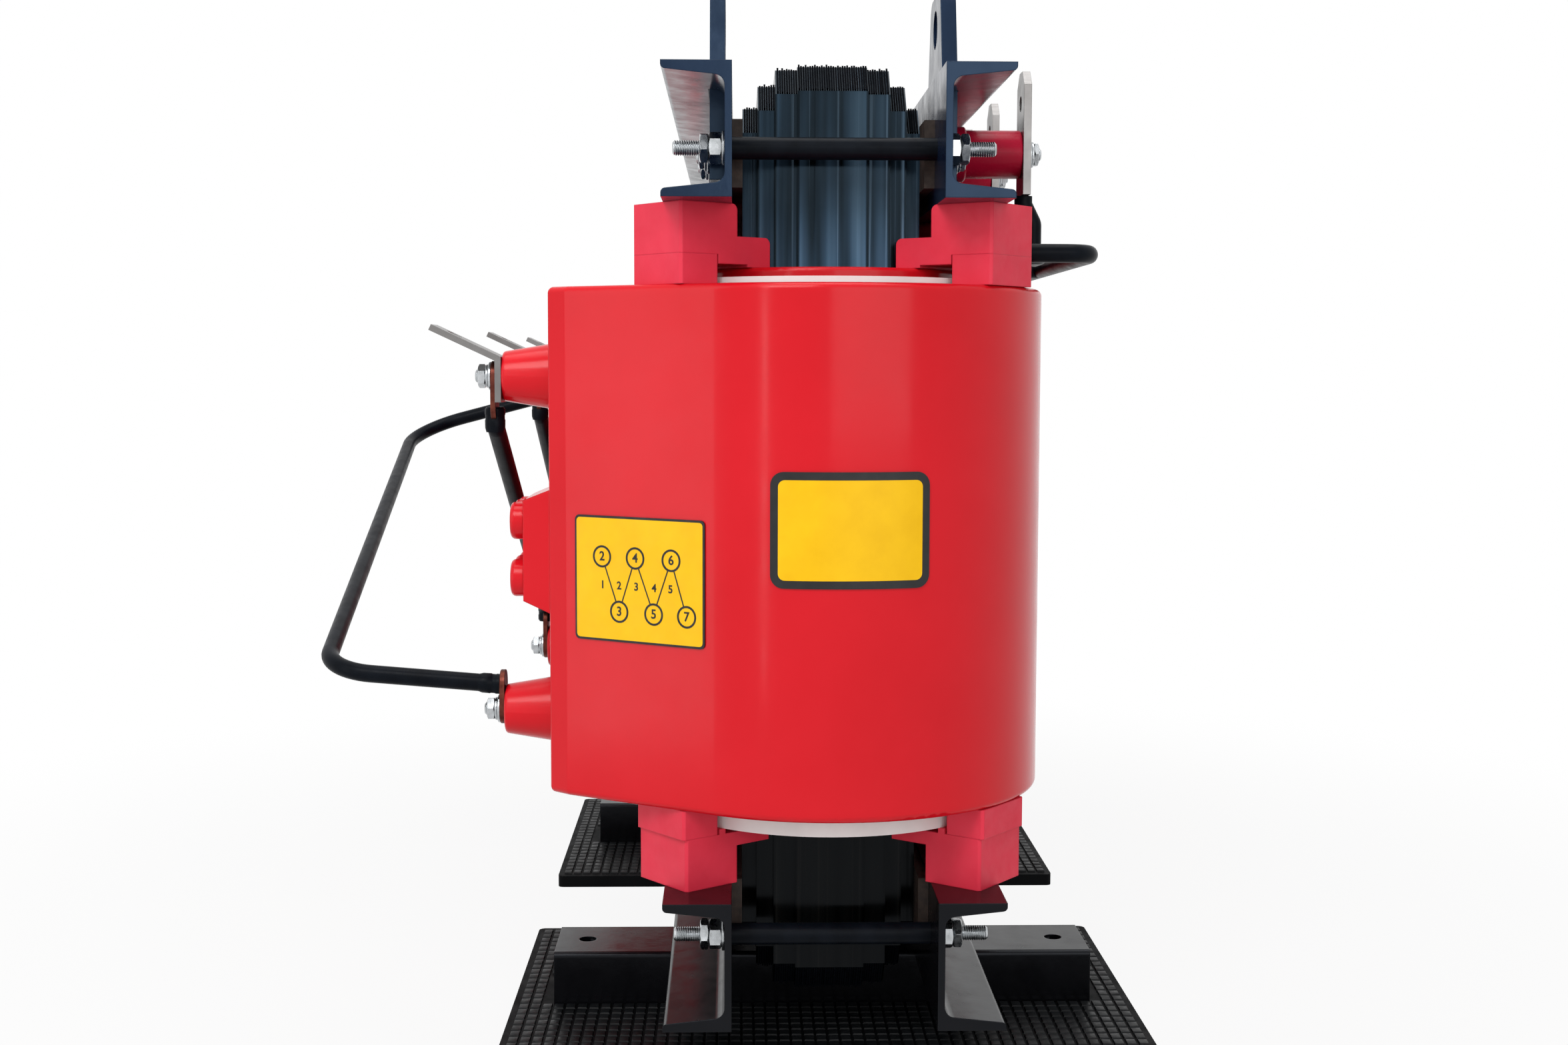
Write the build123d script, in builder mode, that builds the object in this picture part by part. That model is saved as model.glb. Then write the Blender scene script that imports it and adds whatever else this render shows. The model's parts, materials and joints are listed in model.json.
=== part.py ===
"""Dry-type three-phase power transformer with cast-resin coils on a stepped, mitred core."""
import os
from math import cos, radians, sin, sqrt, tan

from build123d import *

# X runs along the row of phases, the high-voltage side faces -Y, and the floor is at Z zero.

# Radial build about each limb, from the core outward
core_radius = 81.0
core_gap = 3.0
lv_wall = 26.0
lv_duct = 20.0
barrier_wall = 4.0
hv_duct = 6.0
hv_wall = 32.0
phase_gap = 16.0
lv_bore = core_radius + core_gap
lv_radius = lv_bore + lv_wall
barrier_bore = lv_radius + lv_duct
barrier_radius = barrier_bore + barrier_wall
hv_bore = barrier_radius + hv_duct
hv_radius = hv_bore + hv_wall
phase_pitch = 2 * hv_radius + phase_gap
phases = {"a": phase_pitch, "b": 0.0, "c": -phase_pitch}

# Core packets fill the limb circle up to the widest sheet: shares of its radius taken by each half stack
packet_stack_shares = (0.337, 0.55, 0.717, 0.862)
sheet_half_width = 70.0
core_corner_cut = 21.0
packet_half_stacks = [share * core_radius for share in packet_stack_shares]
packet_half_widths = [
    min(sheet_half_width, sqrt(core_radius ** 2 - half ** 2)) for half in packet_half_stacks
]
yoke_half = packet_half_widths[0]
core_half_stack = packet_half_stacks[-1]

# Base: two rubber mats and two channels lying web up
mat_thickness = 12.0
mat_length = 370.0
mat_margin = 35.0
mat_corner = 6.0
beam_spacing = 562.0
beam_width = 80.0
beam_height = 45.0
beam_web = 6.0
beam_leg = 7.0
beam_edge_r = 4.0
base_gauge = 408.0
base_hole_d = 15.0
beam_end = 26.0
beam_length = base_gauge + 2 * beam_end
mat_width = beam_length + 2 * mat_margin
beam_top = mat_thickness + beam_height
beam_places = {"front": beam_spacing / 2, "rear": -beam_spacing / 2}

# Clamp channels and the boards between them and the yokes
clamp_overhang = 160.0
clamp_height = 98.0
clamp_flange = 52.0
clamp_web = 5.3
clamp_toe = 6.0
clamp_root = 11.0
clamp_root_r = 8.0
clamp_toe_r = 3.5
board_thickness = 8.0
board_height = 52.0
board_overhang = 80.0
clamp_length = 2 * (phase_pitch + clamp_overhang)
clamp_in = core_half_stack + board_thickness
clamp_out = clamp_in + clamp_web
clamp_tip = clamp_in + clamp_flange

# Heights, from the base up
lv_end_gap = 11.4
lv_overrun = 10.0
lv_overrun_top = 14.0
hv_height = 400.0
barrier_end_gap = 2.5
barrier_rise = 6.0
spacer_low_height = 23.0
spacer_top_height = 23.0
tongue_height = 14.0
tongue_low_height = 11.0
tongue_skirt = 7.0
top_block_height = 38.6
top_yoke_gap = 17.4
bottom_yoke_z = beam_top + yoke_half
lv_bottom = bottom_yoke_z + yoke_half + lv_end_gap
hv_bottom = lv_bottom + lv_overrun
hv_top = hv_bottom + hv_height
lv_top = hv_top + lv_overrun_top
barrier_bottom = bottom_yoke_z + yoke_half + barrier_end_gap
barrier_top = hv_top + barrier_rise
block_low_z = beam_top + clamp_height
spacer_low_z = hv_bottom - spacer_low_height
tongue_low_z = spacer_low_z - tongue_low_height
tongue_top_z = hv_top + spacer_top_height
top_clamp_z = tongue_top_z + top_block_height
top_clamp_top = top_clamp_z + clamp_height
top_yoke_z = lv_top + top_yoke_gap + yoke_half

# High-voltage coil, round at the back and narrowing to a flat terminal face
hv_tangent = 32.0
hv_corner_half = 73.0
hv_bevel_run = 13.0
hv_bevel_depth = 14.0
hv_corner_r = 3.0
hv_edge_r = 5.0
boss_base_r = 27.0
boss_tip_r = 20.0
boss_length = 42.0
boss_edge_r = 3.0
boss_top_inset = 70.0
boss_low_inset = 57.0
tap_place_share = 0.48
tap_height = 98.0
tap_width = 116.0
tap_depth = 22.0
tap_draft = 22.0
hv_touch_x = hv_radius * cos(radians(hv_tangent))
hv_touch_y = -hv_radius * sin(radians(hv_tangent))
hv_corner_y = hv_touch_y - (hv_touch_x - hv_corner_half) / tan(radians(hv_tangent))
hv_face_y = hv_corner_y - hv_bevel_depth
hv_face_half = hv_corner_half - hv_bevel_run
boss_top_z = hv_top - boss_top_inset
boss_low_z = hv_bottom + boss_low_inset
boss_tip_y = hv_face_y - boss_length
tap_z = hv_bottom + tap_place_share * hv_height
tap_face_y = hv_face_y - tap_depth

# Tap studs under round caps, with one column linked
tap_columns = 3
tap_pitch_x = 32.0
tap_pitch_z = 46.0
cap_radius = 15.0
cap_depth = 11.0
cap_edge_r = 4.0
tap_link_thickness = 2.5
tap_link_width = 14.0
tap_link_gap = 0.3

# Low-voltage coil
lv_edge_r = 3.0

# Support blocks, set radially in four places about each coil
block_angle = 52.0
block_width = 62.0
block_edge = 2.0
block_round = 5.0
block_top_setback = 0.5
block_low_setback = 5.0
spacer_low_setback = 2.5
block_yoke_gap = 4.0
foot_setback = 2.0
seat_gap = 1.0
block_top_out = hv_radius - block_top_setback
block_low_out = hv_radius - block_low_setback
spacer_low_out = hv_radius - spacer_low_setback
block_corner_y = block_width / 2 * cos(radians(block_angle))
block_body_in = (core_half_stack + block_yoke_gap + block_corner_y) / sin(radians(block_angle))
foot_in = lv_bore + foot_setback
foot_out = lv_radius - foot_setback
spacer_in = barrier_radius + hv_duct / 2

# Tie rods across the clamps, just beyond the end limbs
rod_r = 6.0
rod_hole_r = 6.5
rod_reach = 40.0
rod_core_gap = 15.7
rod_shift = 7.0
sleeve_wall = 2.0
sleeve_gap = 0.5
nut_flat = 21.0
nut_height = 10.0
lock_nut_height = 7.0
washer_r = 13.0
washer_t = 2.5
bolt_flat = 18.0
bolt_height = 9.0
sleeve_bore = rod_r + sleeve_gap
sleeve_r = sleeve_bore + sleeve_wall
rod_x = phase_pitch + yoke_half + rod_core_gap + sleeve_r
rod_heights = (beam_top + clamp_height / 2 + rod_shift, top_clamp_z + clamp_height / 2 - rod_shift)

# Lifting lugs, bolted to the top clamps and passing up through their flanges
lug_thickness = 12.0
lug_low_half = 55.0
lug_top_half = 35.0
lug_rise = 71.0
lug_eye_rise = 45.0
lug_eye_r = 15.0
lug_top_r = 16.0
lug_slot_gap = 0.8
lug_rod_gap = 3.0
lug_bolt_inset = 19.0
lug_bolt_rise = 19.0
lug_x = rod_x - washer_r - lug_rod_gap - lug_low_half
lug_low_z = top_clamp_z + clamp_root + clamp_root_r + lug_slot_gap
lug_eye_z = top_clamp_top + lug_eye_rise
lug_bolt_x = lug_low_half - lug_bolt_inset
lug_bolt_z = lug_low_z + lug_bolt_rise
lug_out = clamp_out + lug_thickness

# High-voltage terminals: bent line plates, delta links and bolts
arm_thickness = 5.0
arm_width = 36.0
arm_drop = 21.0
arm_rise = 12.5
arm_slope = 25.0
arm_length = 58.0
arm_hole_d = 13.0
arm_hole_inset = 18.0
palm_thickness = 4.0
palm_width = 24.0
link_r = 7.25
link_drop = 25.0
loop_drop = 20.0
link_stub = 14.0
link_bend = 16.0
loop_low_bend = 42.0
loop_top_bend = 60.0
loop_low_reach = 149.0
loop_low_rise = 32.0
loop_top_reach = 192.0
loop_top_fall = 69.0
term_washer_r = 11.5
term_washer_t = 3.0
term_bolt_flat = 17.0
term_bolt_height = 11.0
arm_seat_y = boss_tip_y - arm_thickness

# Low-voltage terminals: bars on post insulators, with sleeved leads from the coils
bar_thickness = 6.5
bar_width = 40.0
bar_cut = 12.0
bar_rise = 25.0
bar_hole_d = 13.0
bar_hole_inset = 26.0
insulator_length = 81.0
insulator_foot_r = 23.0
insulator_waist_r = 20.0
insulator_foot_length = 34.0
insulator_edge_r = 2.0
insulator_lug_gap = 7.0
insulator_lift = 6.0
lead_r = 7.5
lead_offset = 16.0
lead_rise = 16.0
lead_bend = 12.0
lead_sweep = 24.0
lead_stub = 52.0
lead_bulge = 8.0
lead_neck = 7.0
lead_neck_bend = 8.0
neutral_offset = 46.0
insulator_z = top_clamp_z + clamp_height / 2 + insulator_lift
bar_y = clamp_out + insulator_length
bar_out = bar_y + bar_thickness
bar_mid_y = bar_y + bar_thickness / 2
outer_bar_x = lug_x - lug_low_half - insulator_lug_gap - insulator_foot_r
inner_bar_x = outer_bar_x / 3
bars = {"a": outer_bar_x, "n": inner_bar_x, "b": -inner_bar_x, "c": -outer_bar_x}
lead_z = lv_top + lead_rise
bar_low_z = lead_z + lead_stub
lead_y = bar_mid_y + lead_bulge
lead_neck_z = bar_low_z - lead_neck
lead_turn_z = lead_neck_z - 2 * lead_bulge
bar_top_z = top_clamp_top + bar_rise
lead_ring_y = sqrt((lv_radius - lv_wall / 2) ** 2 - lead_offset ** 2)
neutral_y = bar_mid_y + neutral_offset


def save(part, label):
    """Name one piece and write it to the parts folder."""
    part.label = label
    export_step(part, f"parts/{label}.step")


def facing(x, y, z, side):
    """Upright plane at a point, looking along Y toward the given side."""
    return Plane(origin=(x, y, z), x_dir=(1, 0, 0), z_dir=(0, side, 0))


def base_mat(x):
    """Rubber mat under one base channel, with the holding-down holes."""
    with BuildPart() as mat:
        with BuildSketch(Plane.XY):
            with Locations((x, 0)):
                RectangleRounded(mat_length, mat_width, mat_corner)
            with Locations((x, base_gauge / 2), (x, -base_gauge / 2)):
                Circle(base_hole_d / 2, mode=Mode.SUBTRACT)
        extrude(amount=mat_thickness)
    return mat.part


def base_channel(x):
    """Base channel lying web up on its mat, drilled for the holding-down bolts."""
    with BuildPart() as beam:
        with BuildSketch(Plane.XZ.offset(-beam_length / 2)):
            with Locations((x, mat_thickness + beam_height / 2)):
                Rectangle(beam_width, beam_height)
            with Locations((x, mat_thickness + (beam_height - beam_web) / 2)):
                Rectangle(beam_width - 2 * beam_leg, beam_height - beam_web, mode=Mode.SUBTRACT)
        extrude(amount=beam_length)
        fillet(beam.edges().filter_by(Axis.Y).group_by(Axis.Z)[-1], radius=beam_edge_r)
        with BuildSketch(Plane.XY.offset(beam_top)):
            with Locations((x, base_gauge / 2), (x, -base_gauge / 2)):
                Circle(base_hole_d / 2)
        extrude(amount=-beam_web, mode=Mode.SUBTRACT)
    return beam.part


def clamp(z, rod_z, side, slotted):
    """Clamp channel with its flanges outward, drilled for tie rods and slotted for any lugs."""
    top = z + clamp_height
    with BuildPart() as channel:
        with BuildSketch(Plane.YZ.offset(-clamp_length / 2)):
            with BuildLine():
                Polyline(
                    (side * clamp_in, z),
                    (side * clamp_tip, z),
                    (side * clamp_tip, z + clamp_toe),
                    (side * clamp_out, z + clamp_root),
                    (side * clamp_out, top - clamp_root),
                    (side * clamp_tip, top - clamp_toe),
                    (side * clamp_tip, top),
                    (side * clamp_in, top),
                    close=True,
                )
            make_face()
        extrude(amount=clamp_length)
        roots = channel.edges().filter_by(Axis.X).group_by(Axis.Y)[1 if side > 0 else -2]
        fillet(roots, radius=clamp_root_r)
        tips = channel.edges().filter_by(Axis.X).group_by(Axis.Y)[-1 if side > 0 else 0]
        fillet(tips.sort_by(Axis.Z)[1:3], radius=clamp_toe_r)
        with BuildSketch(facing(0, side * clamp_in, rod_z, side)):
            with Locations((rod_x, 0), (-rod_x, 0)):
                Circle(rod_hole_r)
        extrude(amount=clamp_web, mode=Mode.SUBTRACT)
        if slotted:
            with BuildSketch(Plane.XY.offset(top)):
                slot_y = side * (clamp_out + (lug_thickness + lug_slot_gap) / 2)
                with Locations((lug_x, slot_y), (-lug_x, slot_y)):
                    Rectangle(2 * (lug_low_half + lug_slot_gap), lug_thickness + lug_slot_gap)
            extrude(amount=-(clamp_root + clamp_root_r), mode=Mode.SUBTRACT)
    return channel.part


def packets(outline):
    """Stack of lamination packets, each the given outline at its own width."""
    with BuildPart() as stack:
        for half_width, half_stack in zip(packet_half_widths, packet_half_stacks):
            with BuildSketch(Plane.XZ):
                with BuildLine():
                    Polyline(*outline(half_width), close=True)
                make_face()
            extrude(amount=half_stack, both=True)
    return stack.part


def end_limb(side):
    """Outline of an end limb, mitred into both yokes with its sharp corners cut off."""
    def outline(w):
        half_cut = core_corner_cut / 2
        inside = side * (phase_pitch - w)
        outside = side * (phase_pitch + w)
        mitre_tip = side * (phase_pitch + w - half_cut)
        return (
            (inside, top_yoke_z - w),
            (mitre_tip, top_yoke_z + w - half_cut),
            (outside, top_yoke_z + w - core_corner_cut),
            (outside, bottom_yoke_z - w + core_corner_cut),
            (mitre_tip, bottom_yoke_z - w + half_cut),
            (inside, bottom_yoke_z + w),
        )
    return outline


def middle_limb(w):
    """Outline of the middle limb, pointed into a notch of each yoke."""
    return (
        (-w, top_yoke_z - w), (0, top_yoke_z), (w, top_yoke_z - w),
        (w, bottom_yoke_z + w), (0, bottom_yoke_z), (-w, bottom_yoke_z + w),
    )


def yoke(z, side):
    """Outline of a yoke: mitred ends, cut corners and a notch for the middle limb."""
    def outline(w):
        half_cut = core_corner_cut / 2
        end = phase_pitch + w
        right = (
            (w, z - side * w),
            (phase_pitch - w, z - side * w),
            (end - half_cut, z + side * (w - half_cut)),
            (end - core_corner_cut, z + side * w),
        )
        left = tuple((-x, height) for x, height in reversed(right))
        return ((0, z),) + right + left
    return outline


def yoke_boards():
    """Insulating boards between the yokes and the clamps."""
    with BuildPart() as boards:
        for z in (top_yoke_z, bottom_yoke_z):
            for side in (1, -1):
                with Locations((0, side * (core_half_stack + board_thickness / 2), z)):
                    Box(2 * (phase_pitch + board_overhang), board_thickness, board_height)
    return boards.part


def hv_coil(x):
    """Cast coil with its terminal bosses and tap block."""
    with BuildPart() as coil:
        with BuildSketch(Plane(origin=(x, 0, hv_bottom))):
            with BuildLine():
                ThreePointArc((hv_touch_x, hv_touch_y), (0, hv_radius), (-hv_touch_x, hv_touch_y))
                Polyline(
                    (-hv_touch_x, hv_touch_y),
                    (-hv_corner_half, hv_corner_y),
                    (-hv_face_half, hv_face_y),
                    (hv_face_half, hv_face_y),
                    (hv_corner_half, hv_corner_y),
                    (hv_touch_x, hv_touch_y),
                )
            make_face()
        extrude(amount=hv_height)
        fillet(coil.edges().filter_by(Axis.Z).sort_by(Axis.Y)[0:4], radius=hv_corner_r)
        fillet(coil.faces().filter_by(Axis.Z).edges(), radius=hv_edge_r)
        with BuildSketch(Plane(origin=(x, 0, hv_bottom))):
            Circle(hv_bore)
        extrude(amount=hv_height, mode=Mode.SUBTRACT)
        for z in (boss_top_z, boss_low_z):
            with Locations(facing(x, hv_face_y, z, -1)):
                Cone(boss_base_r, boss_tip_r, boss_length, align=(Align.CENTER, Align.CENTER, Align.MIN))
        fillet(coil.edges().filter_by(GeomType.CIRCLE).group_by(Axis.Y)[0], radius=boss_edge_r)
        with BuildSketch(facing(x, hv_face_y, tap_z, -1)):
            Rectangle(tap_width, tap_height)
        extrude(amount=tap_depth, taper=tap_draft)
    return coil.part


def lv_coil(x):
    """Round inner coil with softened ends."""
    with BuildPart() as coil:
        with BuildSketch(Plane(origin=(x, 0, lv_bottom))):
            Circle(lv_radius)
            Circle(lv_bore, mode=Mode.SUBTRACT)
        extrude(amount=lv_top - lv_bottom)
        fillet(coil.edges().filter_by(GeomType.CIRCLE), radius=lv_edge_r)
    return coil.part


def barrier_tubes():
    """Thin insulating tubes between the two windings of each phase."""
    with BuildPart() as tubes:
        for x in phases.values():
            with BuildSketch(Plane(origin=(x, 0, barrier_bottom))):
                Circle(barrier_radius)
                Circle(barrier_bore, mode=Mode.SUBTRACT)
            extrude(amount=barrier_top - barrier_bottom)
    return tubes.part


def radial_box(inner, outer, low, high):
    """Box reaching out along X from one radius to another."""
    with Locations(((inner + outer) / 2, 0, (low + high) / 2)):
        Box(outer - inner, block_width, high - low)


def spread(block):
    """Copies of a block in four radial places about every limb."""
    spots = (block_angle, 180 - block_angle, 180 + block_angle, -block_angle)
    with BuildPart() as ring:
        for x in phases.values():
            for spot in spots:
                add(block.moved(Location((x, 0, 0), (0, 0, spot))))
    return ring.part


def top_block():
    """Upper block: a body under the clamp, a skirted tongue over the windings, a foot on the inner one."""
    with BuildPart() as block:
        radial_box(block_body_in, block_top_out, tongue_top_z, top_clamp_z)
        radial_box(foot_in, block_top_out, tongue_top_z, tongue_top_z + tongue_height)
        radial_box(foot_in, spacer_in - seat_gap, tongue_top_z - tongue_skirt, tongue_top_z)
        radial_box(foot_in, foot_out, lv_top, tongue_top_z)
        chamfer(block.edges().filter_by(Axis.Z).sort_by(Axis.X)[-2:], length=block_edge)
        ledges = block.edges().filter_by(Axis.Y).group_by(Axis.Z)[-2:]
        fillet([ledge.sort_by(Axis.X)[0] for ledge in ledges], radius=block_round)
    return block.part


def top_spacer():
    """Spacer between the outer winding and the upper block."""
    with BuildPart() as block:
        radial_box(spacer_in, block_top_out, hv_top, tongue_top_z)
        chamfer(block.edges().filter_by(Axis.Z).sort_by(Axis.X)[-2:], length=block_edge)
    return block.part


def bottom_block():
    """Lower block: a base on the clamp and a tongue with seats for the inner winding and the barrier."""
    with BuildPart() as block:
        radial_box(block_body_in, block_low_out, block_low_z, tongue_low_z)
        radial_box(foot_in, block_low_out, tongue_low_z, spacer_low_z)
        radial_box(foot_in, foot_out, spacer_low_z, lv_bottom)
        radial_box(barrier_bore - seat_gap, barrier_radius + seat_gap, spacer_low_z, barrier_bottom)
        chamfer(block.edges().filter_by(Axis.Z).sort_by(Axis.X)[-2:], length=block_edge)
    return block.part


def bottom_spacer():
    """Spacer between the lower block and the outer winding."""
    with BuildPart() as block:
        radial_box(spacer_in, spacer_low_out, spacer_low_z, hv_bottom)
        chamfer(block.edges().filter_by(Axis.Z).sort_by(Axis.X)[-2:], length=block_edge)
    return block.part


def bolt_head(seat, washer_radius, washer_height, across_flats, head_height):
    """Washer and hexagon head standing on a plane."""
    with BuildSketch(seat) as washer:
        Circle(washer_radius)
    extrude(washer.sketch, amount=washer_height)
    with BuildSketch(seat.offset(washer_height)) as head:
        RegularPolygon(across_flats / 2, 6, major_radius=False)
    extrude(head.sketch, amount=head_height)


def tie_rods():
    """Studs across both pairs of clamps, each with washers, nuts and lock nuts."""
    with BuildPart() as rods:
        for x in (rod_x, -rod_x):
            for z in rod_heights:
                with BuildSketch(facing(x, 0, z, 1)):
                    Circle(rod_r)
                extrude(amount=clamp_out + rod_reach, both=True)
                for side in (1, -1):
                    seat = facing(x, side * clamp_out, z, side)
                    bolt_head(seat, washer_r, washer_t, nut_flat, nut_height + lock_nut_height)
    return rods.part


def rod_sleeves():
    """Insulating sleeves over the tie rods, between the clamps."""
    with BuildPart() as sleeves:
        for x in (rod_x, -rod_x):
            for z in rod_heights:
                with BuildSketch(facing(x, 0, z, 1)):
                    Circle(sleeve_r)
                    Circle(sleeve_bore, mode=Mode.SUBTRACT)
                extrude(amount=clamp_in, both=True)
    return sleeves.part


def lifting_lug(x, side):
    """Lifting plate on the web of a top clamp, with its eye above the flange."""
    with BuildPart() as lug:
        with BuildSketch(facing(x, side * clamp_out, 0, -1)):
            with BuildLine():
                Polyline(
                    (-lug_low_half, lug_low_z),
                    (lug_low_half, lug_low_z),
                    (lug_low_half, top_clamp_top),
                    (lug_top_half, top_clamp_top + lug_rise),
                    (-lug_top_half, top_clamp_top + lug_rise),
                    (-lug_low_half, top_clamp_top),
                    close=True,
                )
            make_face()
            with Locations((0, lug_eye_z)):
                Circle(lug_eye_r, mode=Mode.SUBTRACT)
        extrude(amount=-side * lug_thickness)
        fillet(lug.edges().filter_by(Axis.Y).group_by(Axis.Z)[-1], radius=lug_top_r)
    return lug.part


def lug_bolts():
    """Bolt heads that hold the lifting lugs to the clamps."""
    with BuildPart() as bolts:
        for x in (lug_x, -lug_x):
            for side in (1, -1):
                for dx in (lug_bolt_x, -lug_bolt_x):
                    seat = facing(x + dx, side * lug_out, lug_bolt_z, side)
                    bolt_head(seat, washer_r, washer_t, bolt_flat, bolt_height)
    return bolts.part


def terminal_arm(x):
    """Bent line terminal on one upper boss."""
    slope = radians(arm_slope)
    mitre = arm_thickness * tan((radians(90) - slope) / 2)
    bend_z = boss_top_z + arm_rise
    tip_y = arm_seat_y - arm_length * cos(slope)
    tip_z = bend_z + arm_length * sin(slope)
    hole_run = arm_length - arm_hole_inset
    hole_y = arm_seat_y - hole_run * cos(slope)
    hole_z = bend_z + hole_run * sin(slope)
    with BuildPart() as arm:
        with BuildSketch(Plane.YZ.offset(x)):
            with BuildLine():
                Polyline(
                    (boss_tip_y, boss_top_z - arm_drop),
                    (boss_tip_y, bend_z + mitre),
                    (tip_y + arm_thickness * sin(slope), tip_z + arm_thickness * cos(slope)),
                    (tip_y, tip_z),
                    (arm_seat_y, bend_z),
                    (arm_seat_y, boss_top_z - arm_drop),
                    close=True,
                )
            make_face()
        extrude(amount=arm_width / 2, both=True)
        lower_face = Plane(origin=(x, hole_y, hole_z), x_dir=(1, 0, 0), z_dir=(0, sin(slope), cos(slope)))
        with BuildSketch(lower_face):
            Circle(arm_hole_d / 2)
        extrude(amount=arm_thickness, mode=Mode.SUBTRACT)
    return arm.part


def delta_link(ends, drop, corners, bend):
    """Sleeved rod between two terminals; each end is (x, boss height, palm direction, seat)."""
    tips = []
    with BuildPart() as link:
        for x, z, turn, seat_y in ends:
            rod_z = z + turn * drop
            with BuildSketch(facing(x, seat_y, (z + rod_z) / 2, -1)):
                SlotCenterToCenter(drop, palm_width, rotation=90)
            extrude(amount=palm_thickness)
            tips.append((x, seat_y - palm_thickness / 2, rod_z))
        with BuildLine() as route:
            FilletPolyline(tips[0], *corners(tips), tips[1], radius=bend)
        with BuildSketch(Plane(origin=tips[0], z_dir=route.line % 0)):
            Circle(link_r)
        sweep(path=route.line)
    return link.part


def slanted(tips):
    """Corners of a link that drops from one palm, slants past the coils and drops to the next."""
    (x, y, z), (end_x, end_y, end_z) = tips
    return (x, y, z - link_stub), (end_x, end_y, end_z + link_stub)


def looped(tips):
    """Corners of the long link, bowed out clear of the other terminals."""
    (x, y, z), (end_x, end_y, end_z) = tips
    low = (x, boss_tip_y - loop_low_reach, boss_low_z + loop_low_rise)
    high = (end_x, boss_tip_y - loop_top_reach, boss_top_z - loop_top_fall)
    return low, high


def terminal_bolts():
    """Bolts with washers on every high-voltage terminal."""
    seats = ((boss_top_z, arm_seat_y - palm_thickness), (boss_low_z, boss_tip_y - palm_thickness))
    with BuildPart() as bolts:
        for x in phases.values():
            for z, seat_y in seats:
                seat = facing(x, seat_y, z, -1)
                bolt_head(seat, term_washer_r, term_washer_t, term_bolt_flat, term_bolt_height)
    return bolts.part


def tap_caps():
    """Round covers over the tap studs of every coil."""
    with BuildPart() as caps:
        for x in phases.values():
            with BuildSketch(facing(x, tap_face_y, tap_z, -1)):
                with GridLocations(tap_pitch_x, tap_pitch_z, tap_columns, 2):
                    Circle(cap_radius)
            extrude(amount=cap_depth)
        fillet(caps.edges().filter_by(GeomType.CIRCLE).group_by(Axis.Y)[0], radius=cap_edge_r)
    return caps.part


def tap_links():
    """Flat links between the two middle tap studs of every coil."""
    with BuildPart() as links:
        for x in phases.values():
            with BuildSketch(facing(x, tap_face_y, tap_z, -1)):
                Rectangle(tap_link_width, tap_pitch_z)
                with GridLocations(0, tap_pitch_z, 1, 2):
                    Circle(cap_radius + tap_link_gap, mode=Mode.SUBTRACT)
            extrude(amount=tap_link_thickness)
    return links.part


def insulators():
    """Stepped post insulators that carry the low-voltage bars off the top clamp."""
    with BuildPart() as posts:
        for x in bars.values():
            foot = facing(x, clamp_out, insulator_z, 1)
            with BuildSketch(foot):
                Circle(insulator_foot_r)
            extrude(amount=insulator_foot_length)
            with BuildSketch(foot.offset(insulator_foot_length)):
                Circle(insulator_waist_r)
            extrude(amount=insulator_length - insulator_foot_length)
        rims = posts.edges().filter_by(GeomType.CIRCLE).group_by(Axis.Y)
        fillet(rims[1].sort_by(SortBy.RADIUS)[-len(bars):] + rims[-1], radius=insulator_edge_r)
    return posts.part


def lv_bar(x):
    """Upright low-voltage bar in front of its insulator, drilled for the cable bolt."""
    with BuildPart() as bar:
        with BuildSketch(facing(x, bar_y, 0, -1)):
            with BuildLine():
                Polyline(
                    (-bar_width / 2, bar_low_z),
                    (bar_width / 2, bar_low_z),
                    (bar_width / 2, bar_top_z - bar_cut),
                    (bar_width / 2 - bar_cut, bar_top_z),
                    (bar_cut - bar_width / 2, bar_top_z),
                    (-bar_width / 2, bar_top_z - bar_cut),
                    close=True,
                )
            make_face()
            with Locations((0, bar_top_z - bar_hole_inset)):
                Circle(bar_hole_d / 2, mode=Mode.SUBTRACT)
        extrude(amount=-bar_thickness)
    return bar.part


def bar_bolts():
    """Bolts that hold the low-voltage bars to their insulators."""
    with BuildPart() as bolts:
        for x in bars.values():
            bolt_head(facing(x, bar_out, insulator_z, 1), washer_r, washer_t, bolt_flat, bolt_height)
    return bolts.part


def sleeved(points, bends):
    """Round sleeved lead along straight runs joined by bends, starting upright or level."""
    with BuildLine() as route:
        FilletPolyline(*points, radius=bends)
    with BuildSketch(Plane(origin=points[0], z_dir=route.line % 0)) as section:
        Circle(lead_r)
    sweep(section.sketch, path=route.line)


def phase_leads():
    """Sleeved leads from the tops of the inner coils to the feet of their bars."""
    with BuildPart() as leads:
        for phase, x in phases.items():
            bar_x = bars[phase]
            start_x = x + (lead_offset if bar_x > x else -lead_offset)
            points = (
                (start_x, lead_ring_y, lv_top),
                (start_x, lead_ring_y, lead_z),
                (start_x, lead_y, lead_z),
                (bar_x, lead_y, lead_z),
                (bar_x, lead_y, lead_turn_z),
                (bar_x, bar_mid_y, lead_neck_z),
                (bar_x, bar_mid_y, bar_low_z),
            )
            sleeved(points, (lead_bend, lead_bend, lead_bend, lead_neck_bend, lead_neck_bend))
    return leads.part


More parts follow.
